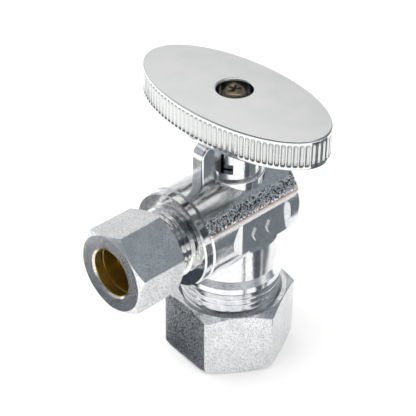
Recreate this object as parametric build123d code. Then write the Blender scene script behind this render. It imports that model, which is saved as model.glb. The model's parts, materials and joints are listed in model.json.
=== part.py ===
from build123d import *
import os
from dataclasses import dataclass
from math import cos, radians, tan

# Quarter-turn angle stop valve. Millimetres. +Z is up along the inlet tube and the stem, the outlet points
# to -Y, and the origin is the middle of the inlet nut's outer face. The handle is in its closed position.

# ---------------------------------------------------------------- driving dimensions

centre_height = 33.8        # outlet axis above the inlet nut's outer face
outlet_reach = 32.0         # outlet nut's outer face from the inlet axis

ball_r = 6.3
port_r = 3.3                # waterway through the ball, the seats and the adapter
barrel_wall = 1.9           # barrel metal round the adapter's thread
barrel_front = 14.5         # joint face of the barrel and the adapter, from the inlet axis
barrel_back = 11.3          # closed end of the barrel, from the inlet axis
barrel_back_round = 2.5

stem_r = 3.0
flats_across = 4.8          # four flats at the top of the stem
handle_length = 45.5
handle_width = 22.4
handle_height = 6.25
flute_count = 96
handle_crown = 0.55         # rise of the handle's top in the middle

# clearances
running = 0.08              # radial, turning and sliding fits
thread_fit = 0.1            # radial, between a male thread and its smooth-bored mate
seal_gap = 0.05             # seals, seats and ferrules to what they sit in
side_gap = 0.25             # hub to stop crescent, collar to ball, hub to ledge

# ---------------------------------------------------------------- compression ends


@dataclass
class CompressionEnd:
    """One tube connection. Distances run outward from the crossing of the two axes."""
    tube_d: float           # outside diameter of the tube it takes
    thread_d: float
    pitch: float
    face: float             # outer face of the nut
    nut_across: float       # across the flats
    nut_length: float
    nut_turn: float         # angle of one corner, degrees
    corner_round: float
    lip: float              # length of the nut's plain tube hole
    mouth_bevel: float      # bevel at the nut's tube hole, 0 for a sharp edge
    stub_inset: float       # male end inside the nut's outer face
    socket_depth: float
    ferrule_wall: float

    @property
    def tube_hole_r(self):
        return self.tube_d / 2 + running

    @property
    def crest_r(self):
        return self.thread_d / 2

    @property
    def root_r(self):
        return self.crest_r - 0.6134 * self.pitch

    @property
    def stub_end(self):
        return self.face - self.stub_inset

    @property
    def socket_end(self):
        return self.stub_end - self.socket_depth


inlet = CompressionEnd(tube_d=15.875, thread_d=20.64, pitch=25.4 / 18, face=centre_height, nut_across=23.8,
                       nut_length=14.6, nut_turn=5.2, corner_round=0.9, lip=2.6, mouth_bevel=0,
                       stub_inset=6.6, socket_depth=9.5, ferrule_wall=0.95)
outlet = CompressionEnd(tube_d=9.525, thread_d=14.29, pitch=25.4 / 24, face=outlet_reach, nut_across=15.9,
                        nut_length=11.5, nut_turn=15.4, corner_round=0.5, lip=2.2, mouth_bevel=0.4,
                        stub_inset=5.4, socket_depth=7.5, ferrule_wall=0.8)

ferrule_taper = 0.36        # radius lost per length at each end of a ferrule
ferrule_tip = 0.3           # wall left at a ferrule's ends
nut_bevel = 30              # hexagon corner bevel, degrees
tip_bevel = 0.3             # bevel at a male stub's end
entry_bevel = 0.4           # bevel where a nut's thread bore opens

# ---------------------------------------------------------------- sizes that follow

seat_thickness = 3.4
seat_back = ball_r + 1.3    # outer face of each seat, from the ball's centre
seat_bore_r = port_r + 0.2

chamber_r = ball_r + 0.7
adapter_thread_r = chamber_r + 1.0
barrel_r = adapter_thread_r + barrel_wall
chamber_front = seat_back + 0.35
land_width = 1.1            # machined ring at the barrel's open end
land_proud = 0.1

collar_width = 2.1
collar_r = barrel_r - 0.05
relief_width = 0.5          # plain groove between a male thread and its shoulder

neck_r = inlet.root_r + 0.3
shoulder_r = inlet.crest_r + 0.1
shoulder_top = centre_height - 20.6
shoulder_width = 1.7
neck_fillet = 0.8
waterway_r = 4.8

ledge_height = 1.4          # stem boss above the barrel's top
ledge_z = centre_height + barrel_r + ledge_height
stop_height = 4.9           # crescent above the ledge
hub_wall = 0.95
hub_hole_r = stem_r + running
hub_r = hub_hole_r + hub_wall
crescent_inner_r = hub_r + side_gap
crescent_outer_r = crescent_inner_r + 1.4
foot_r = crescent_outer_r + 0.75
foot_top = centre_height + barrel_r - 0.1
foot_round = 0.3

lug_half_width = 1.55
lug_reach = crescent_outer_r + 4.05
lug_height = 6.9            # lug above the ledge
lug_back = crescent_outer_r - 0.8
lug_top_round = 2.6
lug_edge_round = 0.45
crescent_start = -44.5      # degrees about Z from +X, ends at the closed stop
crescent_end = 141.0
tooth_span = 20.0
tooth_height = 2.8
tooth_r = crescent_outer_r - 0.1

handle_bottom = ledge_z + 9.15
handle_top = handle_bottom + handle_height
handle_plate = 2.0
handle_wall = 2.0
handle_edge = 0.4           # rounding of the rim's edges
flute_r = 0.5
flute_depth = 0.36
flute_top_land = 0.75
flute_bottom_land = 0.7
boss_in_handle_r = 5.6
well_r = 3.55
well_depth = 5.4
well_lip = 0.4              # rounding of the well's edge
web_thickness = 1.2         # metal between the screw's head and the stem
head_r = 2.6
head_height = 1.7
screw_r = 1.45
screw_length = 7.0

collar_bottom = centre_height + ball_r + side_gap
stem_collar_height = 1.0
stem_collar_r = stem_r + 1.1
washer_thickness = 0.6
recess_top = collar_bottom + stem_collar_height + washer_thickness + seal_gap
blade_thickness = 2.2
blade_length = 5.0
blade_depth = 2.45
flats_bottom = ledge_z + 3.8
well_floor = handle_top - well_depth
stem_top = well_floor - web_thickness - 0.2

ring_r = 0.47               # O-ring section radius
groove_width = 1.15
groove_r = stem_r + running - 2 * ring_r - 0.04

pad_depth = 0.9             # flat-bottomed pocket on the +X side of the barrel
pad_back = 6.6
pad_front = -9.3
pad_ramp = 3.3
pad_top = centre_height + 3.3
pad_bottom = centre_height - 4.8
pad_corner = 1.2
mark_height = 0.35

TO_OUTLET = Location((0, 0, centre_height), (90, 0, 0))
TO_INLET = Location((0, 0, centre_height), (180, 0, 0))

# ---------------------------------------------------------------- helpers


def turned(*outline):
    """Solid of revolution about Z from its half section, given as (radius, height) points."""
    face = make_face(Polyline(*[(r, 0, z) for r, z in outline], close=True))
    return revolve(face, axis=Axis.Z)


def rod(r, z0, z1):
    return Pos(0, 0, z0) * Cylinder(r, z1 - z0, align=(Align.CENTER, Align.CENTER, Align.MIN))


def ring(outer_r, inner_r, z0, z1):
    return turned((inner_r, z0), (outer_r, z0), (outer_r, z1), (inner_r, z1))


def block(x0, x1, y0, y1, z0, z1):
    middle = ((x0 + x1) / 2, (y0 + y1) / 2, (z0 + z1) / 2)
    return Pos(*middle) * Box(x1 - x0, y1 - y0, z1 - z0)


def sector(outer_r, inner_r, start, end, z0, z1):
    """Part of a ring between two angles, in degrees about Z from +X."""
    face = make_face(Polyline((inner_r, 0, z0), (outer_r, 0, z0), (outer_r, 0, z1), (inner_r, 0, z1), close=True))
    return revolve(Rot(0, 0, start) * face, axis=Axis.Z, revolution_arc=end - start)


def o_ring(middle_r, z):
    return Pos(0, 0, z) * Torus(middle_r, ring_r)


def male_thread(end, start):
    """Threaded stub along +Z, from its relief groove at start to its tapered tip, as a row of 60 degree ridges."""
    depth = end.crest_r - end.root_r
    half_crest = end.pitch / 16
    half_base = half_crest + depth * tan(radians(30))
    turns = int((end.stub_end - start - half_base) / end.pitch)
    outline = [(0, start)]
    for ridge in range(turns):
        middle = start + half_base + ridge * end.pitch
        tip_r = end.crest_r if ridge < turns - 1 else end.crest_r - 0.3 * depth
        half_tip = half_base - (tip_r - end.root_r) * tan(radians(30))
        outline += [(end.root_r, middle - half_base), (tip_r, middle - half_tip), (tip_r, middle + half_tip),
                    (end.root_r, middle + half_base)]
    outline += [(end.root_r, end.stub_end - tip_bevel), (end.root_r - tip_bevel, end.stub_end), (0, end.stub_end)]
    return turned(*outline)


def tube_socket(end):
    """Space inside a male stub: the ferrule's cone and the tube's bore, along +Z."""
    mouth_r = end.tube_d / 2 + end.ferrule_wall + seal_gap
    cone = (mouth_r - end.tube_hole_r) / ferrule_taper
    return turned((0, end.socket_end), (end.tube_hole_r, end.socket_end), (end.tube_hole_r, end.stub_end - cone),
                  (mouth_r, end.stub_end), (mouth_r, end.stub_end + 1), (0, end.stub_end + 1))


def ferrule(end):
    inner_r = end.tube_hole_r
    tip_r = end.tube_d / 2 + ferrule_tip
    land_r = end.tube_d / 2 + end.ferrule_wall
    taper = (land_r - tip_r) / ferrule_taper
    outer_tip = end.face - end.lip - (tip_r - end.tube_hole_r) - seal_gap
    outer_land = outer_tip - taper
    return turned((inner_r, outer_tip), (tip_r, outer_tip), (land_r, outer_land), (land_r, end.stub_end),
                  (tip_r, end.stub_end - taper), (inner_r, end.stub_end - taper))


def compression_nut(end):
    """Hexagon nut: bevelled both ends, tube hole, 45 degree ferrule cone and thread bore."""
    back = end.face - end.nut_length
    corner_r = end.nut_across / 2 / cos(radians(30))
    ring_flat_r = end.nut_across / 2 - 0.15
    bevel = (corner_r - ring_flat_r) * tan(radians(nut_bevel))
    hexagon = Rot(0, 0, end.nut_turn) * RegularPolygon(corner_r, 6)
    prism = Pos(0, 0, back) * extrude(fillet(hexagon.vertices(), end.corner_round), end.nut_length)
    blank = prism & turned((0, back), (ring_flat_r, back), (corner_r, back + bevel), (corner_r, end.face - bevel),
                           (ring_flat_r, end.face), (0, end.face))
    bore_r = end.crest_r + thread_fit
    cone_start = end.face - end.lip
    cone_end = cone_start - (end.root_r - end.tube_hole_r)
    hole = turned((0, back - 1), (bore_r + entry_bevel, back - 1), (bore_r + entry_bevel, back),
                  (bore_r, back + entry_bevel), (bore_r, cone_end), (end.root_r, cone_end),
                  (end.tube_hole_r, cone_start), (end.tube_hole_r, end.face + 1), (0, end.face + 1))
    nut = blank - hole
    if end.mouth_bevel:
        nut -= turned((0, end.face - end.mouth_bevel - end.tube_hole_r), (0, end.face + end.mouth_bevel),
                      (end.tube_hole_r + 2 * end.mouth_bevel, end.face + end.mouth_bevel))
    return nut


# ---------------------------------------------------------------- body


def barrel():
    """Horizontal barrel, drawn along +Z toward the outlet."""
    shell = turned((0, -barrel_back), (barrel_r, -barrel_back), (barrel_r, barrel_front - land_width),
                   (barrel_r + land_proud, barrel_front - land_width), (barrel_r + land_proud, barrel_front - 0.3),
                   (barrel_r - 0.2, barrel_front), (0, barrel_front))
    back_edge = shell.edges().sort_by(Axis.Z)[0]
    return TO_OUTLET * fillet(back_edge, barrel_back_round)


def neck():
    """Neck, shoulder and threaded inlet stub, drawn along +Z toward the inlet."""
    thread_start = shoulder_top + shoulder_width + relief_width
    shaft = turned((0, 0), (neck_r, 0), (neck_r, shoulder_top - 1.5), (shoulder_r, shoulder_top),
                   (shoulder_r, shoulder_top + shoulder_width - 0.5),
                   (inlet.root_r - 0.1, shoulder_top + shoulder_width), (inlet.root_r - 0.1, thread_start),
                   (0, thread_start))
    return TO_INLET * (shaft + male_thread(inlet, thread_start))


def body_blank():
    """Barrel, neck and the foot of the stem boss, with the rounded inside corner of the forging under the barrel."""
    blank = barrel() + neck()
    corner = blank.edges().filter_by(GeomType.BSPLINE).filter_by(lambda e: e.center().Z > shoulder_top + 2)
    foot = rod(foot_r, centre_height, foot_top)
    return fillet(corner, neck_fillet) + fillet(foot.edges().sort_by(Axis.Z)[-1], foot_round)


def stop_lug():
    """Block on the outlet side of the boss that the handle's tooth meets when open."""
    base_z = centre_height + barrel_r - 1.5
    lug = block(-lug_half_width, lug_half_width, -lug_reach, -lug_back, base_z, ledge_z + lug_height)
    front = lug.edges().filter_by(Axis.X).sort_by(Axis.Z)[-2:].sort_by(Axis.Y)[0]
    lug = fillet(front, lug_top_round)
    sides = lug.edges().filter_by(lambda e: abs(e.center().X) > lug_half_width - 0.1 and e.center().Z > base_z + 0.1
                                  and e.center().Y < -lug_back - 0.1)
    return fillet(sides, lug_edge_round)


def stem_boss():
    disc = rod(crescent_outer_r, centre_height, ledge_z)
    crescent = sector(crescent_outer_r, crescent_inner_r, crescent_start, crescent_end, ledge_z - 0.5,
                      ledge_z + stop_height)
    return disc + crescent + stop_lug()


def label_pocket():
    """Space of the shallow pocket on the barrel's +X side: round corners, with a sloping run-in at its front."""
    pad_x = barrel_r - pad_depth
    far_x = barrel_r + 1
    side = block(pad_x, far_x, pad_front, pad_back, pad_bottom, pad_top)
    side = fillet(side.edges().filter_by(Axis.X).sort_by(Axis.Y)[-2:], pad_corner)
    plan = make_face(Polyline((pad_x, pad_back, 0), (far_x, pad_back, 0), (far_x, pad_front, 0),
                              (barrel_r, pad_front, 0), (pad_x, pad_front + pad_ramp, 0), close=True))
    return side & (Pos(0, 0, pad_bottom) * extrude(plan, pad_top - pad_bottom))


def flow_marks():
    """Two raised chevrons on the pad that point to the outlet."""
    pad_x = barrel_r - pad_depth
    half = 1.5
    stroke = 1.1
    marks = []
    for y in (-2.3, 1.5):
        chevron = make_face(Polyline((pad_x - 0.2, y - 0.9, centre_height - 0.8),
                                     (pad_x - 0.2, y + 0.9 - stroke, centre_height - 0.8 + half),
                                     (pad_x - 0.2, y + 0.9, centre_height - 0.8 + half),
                                     (pad_x - 0.2, y - 0.9 + stroke, centre_height - 0.8),
                                     (pad_x - 0.2, y + 0.9, centre_height - 0.8 - half),
                                     (pad_x - 0.2, y + 0.9 - stroke, centre_height - 0.8 - half), close=True))
        marks.append(extrude(chevron, mark_height + 0.2, dir=(1, 0, 0)))
    return marks


def valve_body():
    waterways = (
        TO_OUTLET * rod(chamber_r, -seat_back - seal_gap, chamber_front)
        + TO_OUTLET * rod(adapter_thread_r, chamber_front, barrel_front + 1)
        + TO_INLET * tube_socket(inlet)
        + TO_INLET * rod(waterway_r, 0, inlet.socket_end)
        + rod(stem_r + running, centre_height, ledge_z + 1)
        + rod(stem_collar_r + running, centre_height, recess_top)
    )
    outside = body_blank() - label_pocket() + stem_boss()
    for mark in flow_marks():
        outside += mark
    return outside - waterways


# ---------------------------------------------------------------- outlet adapter


def outlet_adapter():
    collar_face = barrel_front + collar_width
    shank_r = adapter_thread_r - thread_fit
    seal_groove = 1.1
    nose_r = chamber_r - 0.15
    inner_face = seat_back + seal_gap
    thread_start = collar_face + relief_width
    edge = 0.3
    shank = turned((0, inner_face), (nose_r, inner_face), (nose_r, chamber_front + seal_gap),
                   (shank_r, chamber_front + seal_gap), (shank_r, barrel_front - 1.4),
                   (adapter_thread_r - 2 * ring_r - 0.05, barrel_front - 1.4),
                   (adapter_thread_r - 2 * ring_r - 0.05, barrel_front - 1.4 + seal_groove),
                   (shank_r, barrel_front - 1.4 + seal_groove), (shank_r, barrel_front), (0, barrel_front))
    collar = turned((0, barrel_front), (collar_r - edge, barrel_front), (collar_r, barrel_front + edge),
                    (collar_r, collar_face - edge), (collar_r - edge, collar_face),
                    (outlet.root_r, collar_face), (outlet.root_r, thread_start), (0, thread_start))
    bore = rod(port_r, 0, outlet.stub_end)
    return TO_OUTLET * (shank + collar + male_thread(outlet, thread_start) - tube_socket(outlet) - bore)


def adapter_o_ring():
    return TO_OUTLET * o_ring(adapter_thread_r - ring_r - 0.02, barrel_front - 0.85)


# ---------------------------------------------------------------- ball and seats


def ball():
    """Ball with an L-shaped port, shown closed: the side port faces -X and turns to -Y when open."""
    centre = Pos(0, 0, centre_height)
    down = centre * Rot(180, 0, 0) * rod(port_r, 0, ball_r + 1)
    side = centre * Rot(0, -90, 0) * rod(port_r, 0, ball_r + 1)
    elbow = centre * Sphere(port_r)
    slot_bottom = collar_bottom - blade_depth - 0.15
    half_slot = blade_thickness / 2 + running
    slot = block(-half_slot, half_slot, -ball_r, ball_r, slot_bottom, centre_height + ball_r + 1)
    return centre * Sphere(ball_r) - down - side - elbow - slot


def seat():
    """Seat ring on the outlet side, drawn along +Z, hollowed to the ball."""
    blank = ring(chamber_r - seal_gap, seat_bore_r, seat_back - seat_thickness, seat_back)
    return blank - Sphere(ball_r + seal_gap)


def front_seat():
    return TO_OUTLET * seat()


def rear_seat():
    return Pos(0, 0, centre_height) * Rot(-90, 0, 0) * seat()


# ---------------------------------------------------------------- stem


def groove_heights():
    span = ledge_z - recess_top
    return [recess_top + span * share for share in (0.25, 0.75)]


def stem():
    half_blade = blade_thickness / 2
    shaft = rod(stem_r, collar_bottom, stem_top) + rod(stem_collar_r, collar_bottom, collar_bottom + stem_collar_height)
    blade = block(-half_blade, half_blade, -blade_length / 2, blade_length / 2, collar_bottom - blade_depth,
                  collar_bottom + 0.5)
    far = 2 * stem_r
    for angle in (0, 90, 180, 270):
        shaft -= Rot(0, 0, angle) * block(flats_across / 2, far, -far, far, flats_bottom, stem_top + 1)
    for z in groove_heights():
        shaft -= ring(far, groove_r, z - groove_width / 2, z + groove_width / 2)
    screw_hole = rod(screw_r + seal_gap, well_floor - screw_length - 0.5, stem_top + 1)
    return shaft + blade - screw_hole


def stem_thrust_washer():
    bottom = collar_bottom + stem_collar_height + 0.02
    return ring(stem_collar_r, stem_r + 0.02, bottom, bottom + washer_thickness)


def stem_o_ring(place):
    return o_ring(groove_r + 0.02 + ring_r, groove_heights()[place])


# ---------------------------------------------------------------- handle and screw


def crown():
    """Low oval dome on the handle's plate: a ball's cap, stretched to the oval."""
    half_length, half_width = (size / 2 - handle_edge - 0.15 for size in (handle_length, handle_width))
    ball_radius = (half_width ** 2 + handle_crown ** 2) / (2 * handle_crown)
    cap = Pos(0, 0, handle_crown - ball_radius) * Sphere(ball_radius) & rod(half_width + 1, 0, handle_crown + 1)
    return Pos(0, 0, handle_top) * scale(cap, by=(half_length / half_width, 1, 1))


def well():
    """Space of the screw's well, with its rounded lip."""
    lip_top = handle_top + 0.87 * handle_crown
    outer_r = well_r + well_lip
    lip_middle = well_lip * (1 - cos(radians(45)))
    bend = ThreePointArc((well_r, 0, lip_top - well_lip), (well_r + lip_middle, 0, lip_top - lip_middle),
                         (outer_r, 0, lip_top))
    rest = Polyline((outer_r, 0, lip_top), (outer_r, 0, lip_top + 1), (0, 0, lip_top + 1), (0, 0, well_floor),
                    (well_r, 0, well_floor), (well_r, 0, lip_top - well_lip))
    return revolve(make_face(bend.edges() + rest.edges()), axis=Axis.Z)


def handle_rim():
    """Oval rim and plate, with rounded-end flutes spaced evenly round the edge."""
    half_length, half_width = handle_length / 2, handle_width / 2
    blank = Pos(0, 0, handle_bottom) * extrude(Ellipse(half_length, half_width), handle_height)
    blank = fillet(blank.edges().sort_by(Axis.Z)[-1], handle_edge)
    blank = fillet(blank.edges().sort_by(Axis.Z)[0], handle_edge)
    cavity = Pos(0, 0, handle_bottom) * extrude(Ellipse(half_length - handle_wall, half_width - handle_wall),
                                                handle_height - handle_plate)
    outline = Ellipse(half_length, half_width).edge()
    low = handle_bottom + flute_bottom_land + flute_r
    high = handle_top - flute_top_land - flute_r
    flutes = []
    for i in range(flute_count):
        point = outline.position_at(i / flute_count)
        along = outline.tangent_at(i / flute_count)
        outward = Vector(along.Y, -along.X, 0) * (flute_r - flute_depth)
        place = point + outward
        capsule = rod(flute_r, low, high) + Pos(0, 0, low) * Sphere(flute_r) + Pos(0, 0, high) * Sphere(flute_r)
        flutes.append(Pos(place.X, place.Y, 0) * capsule)
    return blank + crown() - cavity - flutes


def handle():
    hub_bottom = ledge_z + side_gap
    hub = rod(hub_r, hub_bottom, handle_top - 0.5) + rod(boss_in_handle_r, handle_bottom, handle_top - 0.5)
    tooth = sector(tooth_r, hub_r - 0.5, crescent_end + 1.5, crescent_end + 1.5 + tooth_span, hub_bottom,
                   hub_bottom + tooth_height)
    half = flats_across / 2 + running
    broach = rod(hub_hole_r, hub_bottom - 1, well_floor - web_thickness)
    square = block(-half, half, -half, half, flats_bottom, well_floor - web_thickness)
    round_part = rod(hub_hole_r, hub_bottom - 1, flats_bottom + 0.2)
    hole = (broach & square) + round_part
    screw_hole = rod(screw_r + 0.15, well_floor - web_thickness - 1, well_floor + 1)
    return handle_rim() + hub + tooth - hole - well() - screw_hole


def handle_screw():
    head = rod(head_r, well_floor, well_floor + head_height)
    head = fillet(head.edges().sort_by(Axis.Z)[-1], 0.8)
    shank = rod(screw_r, well_floor - screw_length, well_floor + 0.2)
    recess_top_z = well_floor + head_height
    recess = None
    for angle in (0, 90):
        blade = block(-1.5, 1.5, -0.35, 0.35, recess_top_z - 1.1, recess_top_z + 1)
        blade = Rot(0, 0, angle + 30) * blade
        recess = blade if recess is None else recess + blade
    return head + shank - recess


# ---------------------------------------------------------------- all pieces

pieces = {
    "valve_body": valve_body(),
    "outlet_adapter": outlet_adapter(),
    "adapter_o_ring": adapter_o_ring(),
    "ball": ball(),
    "front_seat": front_seat(),
    "rear_seat": rear_seat(),
    "stem": stem(),
    "stem_thrust_washer": stem_thrust_washer(),
    "stem_o_ring_lower": stem_o_ring(0),
    "stem_o_ring_upper": stem_o_ring(1),
    "handle": handle(),
    "handle_screw": handle_screw(),
    "outlet_nut": TO_OUTLET * compression_nut(outlet),
    "outlet_ferrule": TO_OUTLET * ferrule(outlet),
    "inlet_nut": TO_INLET * compression_nut(inlet),
    "inlet_ferrule": TO_INLET * ferrule(inlet),
}

os.makedirs("parts", exist_ok=True)
for name, solid in pieces.items():
    export_step(solid, f"parts/{name}.step")
    print(name, round(solid.volume, 2), "mm3")
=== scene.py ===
# %% [markdown]
# # A chromed angle stop valve
#
# The valve's sizes, places and joints come from its CAD model, which is loaded as a fixed frame. This lesson
# gives that frame its looks: chrome plate over forged and turned brass, chrome over die-cast zinc, bare brass
# inside the nuts, and a studio that such shiny things need, because polished metal shows only what stands
# around it.

# %% Load the frame
import json
from math import cos, pi, radians, sin

import bpy
from mathutils import Matrix, Vector


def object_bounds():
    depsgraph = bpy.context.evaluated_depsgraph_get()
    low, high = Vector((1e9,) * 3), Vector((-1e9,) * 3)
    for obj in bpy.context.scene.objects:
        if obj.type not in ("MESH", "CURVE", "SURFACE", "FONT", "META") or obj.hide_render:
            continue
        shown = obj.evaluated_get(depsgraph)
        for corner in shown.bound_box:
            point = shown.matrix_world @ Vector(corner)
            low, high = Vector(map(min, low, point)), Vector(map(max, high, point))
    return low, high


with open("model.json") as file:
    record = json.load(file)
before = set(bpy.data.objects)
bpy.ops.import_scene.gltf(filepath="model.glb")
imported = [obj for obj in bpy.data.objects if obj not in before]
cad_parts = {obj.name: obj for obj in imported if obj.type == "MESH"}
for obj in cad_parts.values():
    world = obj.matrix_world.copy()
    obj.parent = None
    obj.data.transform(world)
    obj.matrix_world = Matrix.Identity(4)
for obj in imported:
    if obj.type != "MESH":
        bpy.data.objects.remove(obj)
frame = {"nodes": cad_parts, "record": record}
cad_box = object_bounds()
nodes = frame["nodes"]
MM = 0.001
mounts = {mount["name"]: mount for mount in frame["record"]["mounts"]}
AXIS_HEIGHT = mounts["outlet"]["pos_m"][2]
OUTLET_BORE, INLET_BORE = (mounts[name]["dims"]["r_mm"] * MM for name in ("outlet", "inlet"))
print("CAD box in mm:", [[round(v / MM, 2) for v in corner] for corner in cad_box])
print("outlet axis height and the two bores' radii in mm:",
      [round(v / MM, 2) for v in (AXIS_HEIGHT, OUTLET_BORE, INLET_BORE)])

# %% [markdown]
# ## Small helpers
#
# A colour is easiest to think of as the sRGB hex value of a paint chart, but Blender's sockets want linear
# light, so one function turns one into the other. A material is a few nodes; adding a node with its settings
# and links in one call keeps each recipe short enough to read.

# %% Colour and node helpers


def linear(hex_colour):
    """An sRGB hex colour as linear red, green, blue and full alpha."""
    channels = [int(hex_colour[i:i + 2], 16) / 255 for i in (1, 3, 5)]
    return [c / 12.92 if c <= 0.04045 else ((c + 0.055) / 1.055) ** 2.4 for c in channels] + [1.0]


def add(tree, kind, settings=None, **inputs):
    """Adds a node. settings are its properties; inputs are socket values, or sockets to link from."""
    node = tree.nodes.new(kind)
    for name, value in (settings or {}).items():
        setattr(node, name, value)
    for name, value in inputs.items():
        key = int(name[1:]) if name[1:].isdigit() else name.replace("_", " ")
        socket = node.inputs[key]
        if isinstance(value, bpy.types.NodeSocket):
            tree.links.new(value, socket)
        else:
            socket.default_value = value
    return node


def maths(tree, operation, a, b):
    """One sum on two numbers or sockets."""
    return add(tree, "ShaderNodeMath", {"operation": operation}, i0=a, i1=b).outputs[0]


def spread(tree, value, low, high, new_low=0.0, new_high=1.0):
    """The value's range from low to high, stretched to a new range with soft ends."""
    node = add(tree, "ShaderNodeMapRange", {"interpolation_type": "SMOOTHSTEP"}, Value=value, From_Min=low,
               From_Max=high, To_Min=new_low, To_Max=new_high)
    return node.outputs[0]


def blend_colour(tree, factor, low, high):
    """Mixes two colours, each a hex value or a socket."""
    low, high = (linear(c) if isinstance(c, str) else c for c in (low, high))
    return add(tree, "ShaderNodeMix", {"data_type": "RGBA"}, i0=factor, i6=low, i7=high).outputs[2]


def surface(name, **values):
    """A material with its shader's sockets set, colours as hex values and all else as numbers."""
    material = bpy.data.materials.new(name)
    material.use_nodes = True
    shader = material.node_tree.nodes["Principled BSDF"]
    for key, value in values.items():
        shader.inputs[key.replace("_", " ")].default_value = linear(value) if isinstance(value, str) else value
    return material


# %% [markdown]
# ## Camera
#
# Something this small is looked at from well back with a long lens, so that nothing bulges. The valve is seen
# from its outlet's right, a third of the way up, and the camera's own roll is under a degree.

# %% Camera
CAMERA_MM = (159.92, -164.01, 194.48)
VALVE_MIDDLE_MM = (0, 0, 30)
camera_data = bpy.data.cameras.new("camera")
camera_data.sensor_width = 36.0
camera_data.lens = 121.34
camera_data.clip_start = 0.01
camera = bpy.data.objects.new("camera", camera_data)
bpy.context.scene.collection.objects.link(camera)
azimuth, elevation, roll = radians(45.46), radians(35.14), radians(0.76)
backward = Vector((sin(azimuth) * cos(elevation), -cos(azimuth) * cos(elevation), sin(elevation)))
level_right = Vector((cos(azimuth), sin(azimuth), 0.0))
level_up = backward.cross(level_right)
right = cos(roll) * level_right + sin(roll) * level_up
up = cos(roll) * level_up - sin(roll) * level_right
axes = Matrix((right, up, backward)).transposed().to_4x4()
camera.matrix_world = Matrix.Translation(Vector(CAMERA_MM) * MM) @ axes
bpy.context.scene.camera = camera
print("camera distance in mm:", round((Vector(CAMERA_MM) - Vector(VALVE_MIDDLE_MM)).length, 1))

# %% [markdown]
# ## Floor
#
# The valve stands on a pale, matte sweep. It gives off a little light of its own, as lit white acrylic does,
# which keeps the shadow faint. It lies a hair under the inlet nut so that the two faces do not fight.

# %% Floor
FLOOR_SIZE = 3.0
FLOOR_GAP = 0.02 * MM
bpy.ops.mesh.primitive_grid_add(x_subdivisions=2, y_subdivisions=2, size=FLOOR_SIZE)
floor = bpy.context.object
floor.name = "floor"
floor.location.z = cad_box[0].z - FLOOR_GAP
floor.data.materials.append(surface("pale_floor", Base_Color="#F4F4F3", Roughness=0.9, Specular_IOR_Level=0.0,
                                    Emission_Color="#FFFFFF", Emission_Strength=0.08))
print("floor height in mm:", round(floor.location.z / MM, 3))

# %% [markdown]
# ## Studio tent
#
# Polished chrome is lit in a white tent with darker panels set where the metal should read as dark. The tent
# is the world's light. Three rings of colour, low, middle and high, run round the compass, and the top is
# white. Only reflections see the rings; matte surfaces and the camera see plain white.

# %% World
world = bpy.data.worlds.new("studio_tent")
bpy.context.scene.world = world
world.use_nodes = True
tree = world.node_tree
tree.nodes.clear()
direction = add(tree, "ShaderNodeTexCoord").outputs["Generated"]
split = add(tree, "ShaderNodeSeparateXYZ", Vector=direction)
height = split.outputs["Z"]
compass = maths(tree, "ARCTAN2", split.outputs["Y"], split.outputs["X"])
around = add(tree, "ShaderNodeMapRange", Value=compass, From_Min=-pi, From_Max=pi).outputs[0]


def ring(stops):
    """A ring of colours round the compass, by degrees from +X towards +Y."""
    ramp = add(tree, "ShaderNodeValToRGB", Fac=around)
    elements = ramp.color_ramp.elements
    ramp.color_ramp.interpolation = "EASE"
    while len(elements) < len(stops):
        elements.new(0.5)
    for element, (degrees, colour) in zip(elements, stops.items()):
        element.position = (degrees + 180) / 360
        element.color = linear(colour)
    return ramp.outputs["Color"]


low_ring = ring({-180: "#E6E6E6", -150: "#C6C9CC", -105: "#8A9096", -80: "#EDEDED", -20: "#FFFFFF",
                 14: "#9AA0A6", 30: "#FFFFFF", 46: "#F4F4F4", 60: "#6A7076", 105: "#8E9296", 130: "#FFFFFF"})
middle_ring = ring({-180: "#F2F2F2", -135: "#C4C8CC", -100: "#7A8086", -20: "#8A9096", 5: "#B4B8BC",
                    24: "#4A5056", 58: "#4A5056", 85: "#8A9096", 115: "#E8E8E8"})
high_ring = ring({-180: "#F2F2F2", -135: "#B4B8BC", -105: "#6A7076", -55: "#565C62", -15: "#7A8086",
                  12: "#B4B8BC", 35: "#98A0A6", 60: "#8C949A", 95: "#8A9096", 118: "#E4E4E4", 132: "#FFFFFF"})
lower_sides = blend_colour(tree, spread(tree, height, 0.09, 0.2), low_ring, middle_ring)
sides = blend_colour(tree, spread(tree, height, 0.42, 0.52), lower_sides, high_ring)
tent = blend_colour(tree, spread(tree, height, 0.84, 0.95), sides, "#FFFFFF")
glossy_ray = add(tree, "ShaderNodeLightPath").outputs["Is Glossy Ray"]
shown = blend_colour(tree, glossy_ray, "#FAFAFA", tent)
back = add(tree, "ShaderNodeBackground", Color=shown, Strength=1.0)
add(tree, "ShaderNodeOutputWorld", Surface=back.outputs[0])
print("world nodes:", len(tree.nodes))

# %% [markdown]
# ## Cards
#
# The faces that lean down mirror the floor, so their dark tones come from flat cards that lie on it. Each card
# is a polygon placed where one facet looks: the front ring of the outlet nut, the collar behind it, and the
# right-hand sides of the barrel, the neck and the inlet nut.

# %% Cards that only reflections see
CARD_HEIGHT = 0.04 * MM


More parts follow.
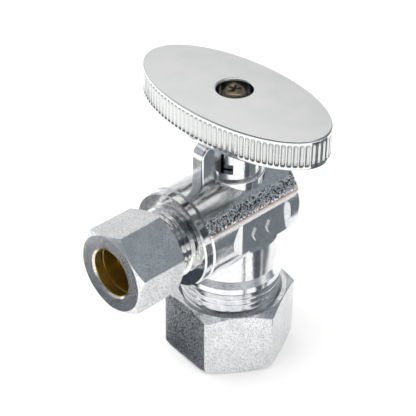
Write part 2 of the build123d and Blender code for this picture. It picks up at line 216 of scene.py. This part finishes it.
def card(name, colour, *corners_mm):
    """A flat polygon on the floor that only reflections see."""
    points = [(x * MM, y * MM, CARD_HEIGHT) for x, y in corners_mm]
    mesh = bpy.data.meshes.new(name)
    mesh.from_pydata(points, [], [range(len(points))])
    sheet = bpy.data.objects.new(name, mesh)
    bpy.context.scene.collection.objects.link(sheet)
    sheet.visible_camera = sheet.visible_diffuse = sheet.visible_shadow = sheet.visible_transmission = False
    paint = bpy.data.materials.new(name)
    paint.use_nodes = True
    paint.node_tree.nodes.clear()
    glow = add(paint.node_tree, "ShaderNodeEmission", Color=linear(colour))
    add(paint.node_tree, "ShaderNodeOutputMaterial", Surface=glow.outputs[0])
    mesh.materials.append(paint)
    print(name, "has", len(points), "corners")


card("card_front_left", "#454B53", (6, -13), (-8, -11.6), (-26, -22), (-50, -66), (-46, -78), (-26, -78),
     (-8, -56), (-12, -26))
card("card_collar", "#8A8C8E", (-44, -48), (-64, -56), (-62, -74), (-51, -66))
card("card_right", "#5A6066", (24, 5), (25, 9), (44, 22), (90, 40), (160, 60), (160, -8), (60, 0))
card("card_far_right", "#787E84", (26, 12), (30, 38), (70, 110), (240, 320), (420, 240), (120, 50), (44, 24))
card("card_thin_right", "#54595F", (30, -7.5), (30, -10.5), (60, -17), (60, -13))

# %% [markdown]
# ## Lamps
#
# Two wide, weak lamps add a soft direction to the light on matte surfaces. Chrome does not see them, so they
# leave no squares in it. The plain view transform keeps white white.

# %% Lamps


def soft_lamp(name, size, power, place_mm):
    """A square area lamp aimed at the valve, seen by matte surfaces only."""
    data = bpy.data.lights.new(name, "AREA")
    data.size = size
    data.energy = power
    lamp = bpy.data.objects.new(name, data)
    bpy.context.scene.collection.objects.link(lamp)
    lamp.location = Vector(place_mm) * MM
    lamp.rotation_euler = (Vector(place_mm) - Vector(VALVE_MIDDLE_MM)).to_track_quat("Z", "Y").to_euler()
    lamp.visible_glossy = False
    print(name, "gives", power, "W")


soft_lamp("key_lamp", 0.5, 2.2, (-250, -350, 600))
soft_lamp("fill_lamp", 0.6, 1.2, (450, -100, 450))

view = bpy.context.scene.view_settings
view.view_transform = "Standard"
view.look = "None"

# %% [markdown]
# ## Chrome plate
#
# Decorative chrome is a film under a thousandth of a millimetre thick over polished nickel, so it copies
# whatever the metal under it was: glassy where the brass was buffed, pebbly where the forging was left as it
# came from the die, finely grained on the flats of drawn hexagon bar. The metal is one; the recipes differ in
# the bump under it. Plating hardly reaches into a bore, so the bores stay the colour of the brass.

# %% What every metal recipe uses
CHROME = "#DADCDF"
BRASS = "#EEDA94"


def metal(name, **values):
    """A metallic material, with its tree, its shader and the object's own coordinates in metres."""
    material = surface(name, Metallic=1.0, **values)
    tree = material.node_tree
    where = add(tree, "ShaderNodeTexCoord").outputs["Object"]
    return material, tree, tree.nodes["Principled BSDF"], where


def feed(shader, **sources):
    """Links sockets into the shader's inputs."""
    for key, source in sources.items():
        shader.id_data.links.new(source, shader.inputs[key.replace("_", " ")])


def noise(tree, where, grain, detail):
    """Noise whose lumps are about grain millimetres across."""
    return add(tree, "ShaderNodeTexNoise", Vector=where, Scale=1 / (grain * MM), Detail=detail).outputs["Fac"]


def bump(tree, height, depth, under=None):
    """Bump of the given depth in millimetres, over another bump if there is one."""
    below = {"Normal": under} if under else {}
    return add(tree, "ShaderNodeBump", Height=height, Distance=depth * MM, **below).outputs["Normal"]


def axis_distance(tree, where, axis):
    """Distance from the outlet's axis or the inlet's, in metres."""
    middle = (0.0, 0.0, AXIS_HEIGHT if axis == "outlet" else 0.0)
    keep = (1.0, 0.0, 1.0) if axis == "outlet" else (1.0, 1.0, 0.0)
    offset = add(tree, "ShaderNodeVectorMath", {"operation": "SUBTRACT"}, i0=where, i1=middle).outputs[0]
    flat = add(tree, "ShaderNodeVectorMath", {"operation": "MULTIPLY"}, i0=offset, i1=keep).outputs[0]
    return add(tree, "ShaderNodeVectorMath", {"operation": "LENGTH"}, i0=flat).outputs["Value"]


def within(tree, where, axis, radius):
    """1 inside a radius in metres round an axis, fading to 0 over the next tenth of a millimetre."""
    return spread(tree, axis_distance(tree, where, axis), radius, radius + 0.1 * MM, 1.0, 0.0)


# %% [markdown]
# ## Nuts
#
# The nuts are cut from drawn hexagon bar, bored and tapped, then plated. Drawing leaves a fine grain and small
# pits a quarter of a millimetre across, and the plate is slightly smeared where the nut was handled.

# %% Chrome on hexagon bar
BORE_MARGIN = 0.1 * MM


def plated_hexagon(name, axis, bore):
    """Chrome with pits and grain, and bare brass in the bore."""
    material, tree, shader, where = metal(name, Roughness=0.16)
    specks = spread(tree, noise(tree, where, 0.26, 1.0), 0.54, 0.64)
    smears = spread(tree, noise(tree, where, 3.5, 3.0), 0.35, 0.65)
    clean = blend_colour(tree, smears, "#DADCDE", "#E8E9EA")
    plated = blend_colour(tree, specks, clean, "#C0C3C6")
    inside = within(tree, where, axis, bore + BORE_MARGIN)
    skin = bump(tree, noise(tree, where, 0.22, 2.0), 0.008, bump(tree, smears, 0.005))
    feed(shader, Base_Color=blend_colour(tree, inside, plated, BRASS), Normal=bump(tree, specks, 0.03, skin))
    return material


small_nut = plated_hexagon("chrome_on_small_hexagon_bar", "outlet", OUTLET_BORE)
large_nut = plated_hexagon("chrome_on_large_hexagon_bar", "inlet", INLET_BORE)
print("nut finishes:", small_nut.name, large_nut.name)

# %% [markdown]
# ## Forged body
#
# The body is hot-forged brass. Buffing leaves it glassy and a little wavy, but a band along the barrel's
# shoulder is hard to reach and keeps the pebbled skin of the die. A thin brown line of old polish and tarnish
# sits along the band's lower edge. The band and the line run at set angles round the outlet's axis.

# %% Chrome on forged brass
BARREL_SKIN = 9.7 * MM
NECK_BORE = 9.2 * MM
NECK_BORE_TOP = 23 * MM


def plated_forging(name):
    """Buffed chrome with a pebbled band, a brown line under it, and bare brass in the neck's bore."""
    material, tree, shader, where = metal(name, Roughness=0.14)
    part = add(tree, "ShaderNodeSeparateXYZ", Vector=where)
    above_axis = maths(tree, "SUBTRACT", part.outputs["Z"], AXIS_HEIGHT)
    angle = maths(tree, "ARCTAN2", above_axis, part.outputs["X"])
    outside = spread(tree, axis_distance(tree, where, "outlet"), BARREL_SKIN - 0.1 * MM, BARREL_SKIN + 0.1 * MM)

    def angles(start_low, start_high, end_low, end_high, strength=1.0):
        """Rises between the first two angles in degrees and falls to 0 between the last two."""
        start = spread(tree, angle, radians(start_low), radians(start_high))
        end = spread(tree, angle, radians(end_low), radians(end_high), strength, 0.0)
        return maths(tree, "MULTIPLY", maths(tree, "MULTIPLY", start, end), outside)

    rough_band = angles(25, 26.5, 40, 48)
    brown_line = angles(22.5, 24, 25.5, 27, strength=0.5)
    pebbles = spread(tree, noise(tree, where, 0.48, 1.0), 0.42, 0.56)
    haze = spread(tree, noise(tree, where, 1.2, 4.0), 0.35, 0.65)
    buffed = blend_colour(tree, haze, "#DDDFE1", "#EAEBEC")
    pebbled = blend_colour(tree, pebbles, "#727C88", "#FFFFFF")
    plated = blend_colour(tree, brown_line, blend_colour(tree, rough_band, buffed, pebbled), "#B07A4A")
    low_down = spread(tree, part.outputs["Z"], NECK_BORE_TOP, NECK_BORE_TOP + 1 * MM, 1.0, 0.0)
    inside = maths(tree, "MULTIPLY", within(tree, where, "inlet", NECK_BORE), low_down)
    waves = bump(tree, noise(tree, where, 3.0, 1.0), 0.02)
    skin = bump(tree, noise(tree, where, 0.4, 3.0), 0.015, waves)
    stones = bump(tree, maths(tree, "MULTIPLY", pebbles, rough_band), 0.12, skin)
    feed(shader, Base_Color=blend_colour(tree, inside, plated, BRASS), Normal=stones)
    return material


forging = plated_forging("chrome_on_forged_brass")
print("body finish:", forging.name, "with", len(forging.node_tree.nodes), "nodes")

# %% [markdown]
# ## Turned adapter
#
# The adapter that closes the barrel is turned from bar. The tool leaves fine rings round the outlet's axis, and
# the waterway inside stays bare brass.

# %% Chrome on turned brass
ADAPTER_BORE = 6.1 * MM


def plated_turning(name):
    """Bright chrome over fine tool rings."""
    material, tree, shader, where = metal(name, Roughness=0.08)
    stretched = add(tree, "ShaderNodeMapping", Vector=where, Scale=(0.1, 3.0, 0.1)).outputs[0]
    haze = spread(tree, noise(tree, where, 1.0, 3.0), 0.35, 0.65)
    plated = blend_colour(tree, haze, "#D0D2D4", "#EEEEEC")
    inside = within(tree, where, "outlet", ADAPTER_BORE)
    waves = bump(tree, noise(tree, where, 2.0, 1.0), 0.01)
    rings = bump(tree, noise(tree, stretched, 0.8, 2.0), 0.01, waves)
    feed(shader, Base_Color=blend_colour(tree, inside, plated, BRASS), Normal=rings)
    return material


turning = plated_turning("chrome_on_turned_brass")
print("adapter finish:", turning.name)

# %% [markdown]
# ## Handle
#
# The handle is die-cast zinc. Its wide top is brushed to satin before plating, while the edges stay bright, so
# the roughness follows how squarely the surface faces up. An occlusion mask darkens the colour in the flutes
# and creases: this darkening is painted shade.

# %% Chrome on die-cast zinc


def plated_die_casting(name):
    """Satin on top, bright on the sides, with painted shade darkening the creases."""
    material, tree, shader, where = metal(name)
    haze = spread(tree, noise(tree, where, 5.0, 3.0), 0.3, 0.7)
    plated = blend_colour(tree, haze, "#DBDCDC", "#E0E1E0")
    # Painted shade: the base colour darkens to #50555A where the occlusion mask finds flutes and creases.
    crease_occlusion = add(tree, "ShaderNodeAmbientOcclusion", {"only_local": True, "samples": 8}, Distance=0.8 * MM)
    outside_painted_crease_shade = spread(tree, crease_occlusion.outputs["AO"], 0.55, 0.92)
    facing = add(tree, "ShaderNodeSeparateXYZ", Vector=add(tree, "ShaderNodeNewGeometry").outputs["Normal"])
    feed(shader, Base_Color=blend_colour(tree, outside_painted_crease_shade, "#50555A", plated),
         Roughness=spread(tree, facing.outputs["Z"], 0.97, 0.995, 0.10, 0.30),
         Normal=bump(tree, noise(tree, where, 1.6, 3.0), 0.01))
    return material


casting = plated_die_casting("chrome_on_die_cast_zinc")
print("handle finish:", casting.name)

# %% [markdown]
# ## Small parts
#
# The ferrules and the stem are bare turned brass, the ball is polished and plated, and the handle's screw is
# zinc-plated steel. The seats and the thrust washer are turned PTFE, and the O-rings are moulded nitrile rubber.

# %% Bare metals and polymers


def turned_metal(name, colour, roughness):
    """Plain metal with fine tool marks."""
    material, tree, shader, where = metal(name, Base_Color=colour, Roughness=roughness)
    feed(shader, Normal=bump(tree, noise(tree, where, 0.4, 2.0), 0.01))
    return material


brass = turned_metal("turned_brass", BRASS, 0.25)
ball_plate = turned_metal("polished_plated_brass", CHROME, 0.08)
screw_steel = turned_metal("zinc_plated_steel", "#C9B9A0", 0.3)
ptfe = surface("turned_ptfe", Base_Color="#EDEDE8", Roughness=0.45)
rubber = surface("moulded_nitrile_rubber", Base_Color="#161616", Roughness=0.6)
print("small parts' finishes:", [m.name for m in (brass, ball_plate, screw_steel, ptfe, rubber)])

# %% [markdown]
# ## Finishes to pieces
#
# Each CAD piece keeps its mesh and its place, and only its material slot is filled.

# %% Give each piece its finish
finishes = {
    "valve_body": forging, "outlet_adapter": turning, "outlet_nut": small_nut, "inlet_nut": large_nut,
    "handle": casting, "handle_screw": screw_steel, "ball": ball_plate,
    "outlet_ferrule": brass, "inlet_ferrule": brass, "stem": brass,
    "front_seat": ptfe, "rear_seat": ptfe, "stem_thrust_washer": ptfe,
    "adapter_o_ring": rubber, "stem_o_ring_lower": rubber, "stem_o_ring_upper": rubber,
}
for name, material in finishes.items():
    nodes[name].material_slots[0].material = material
print("finishes given to", len(finishes), "CAD pieces")
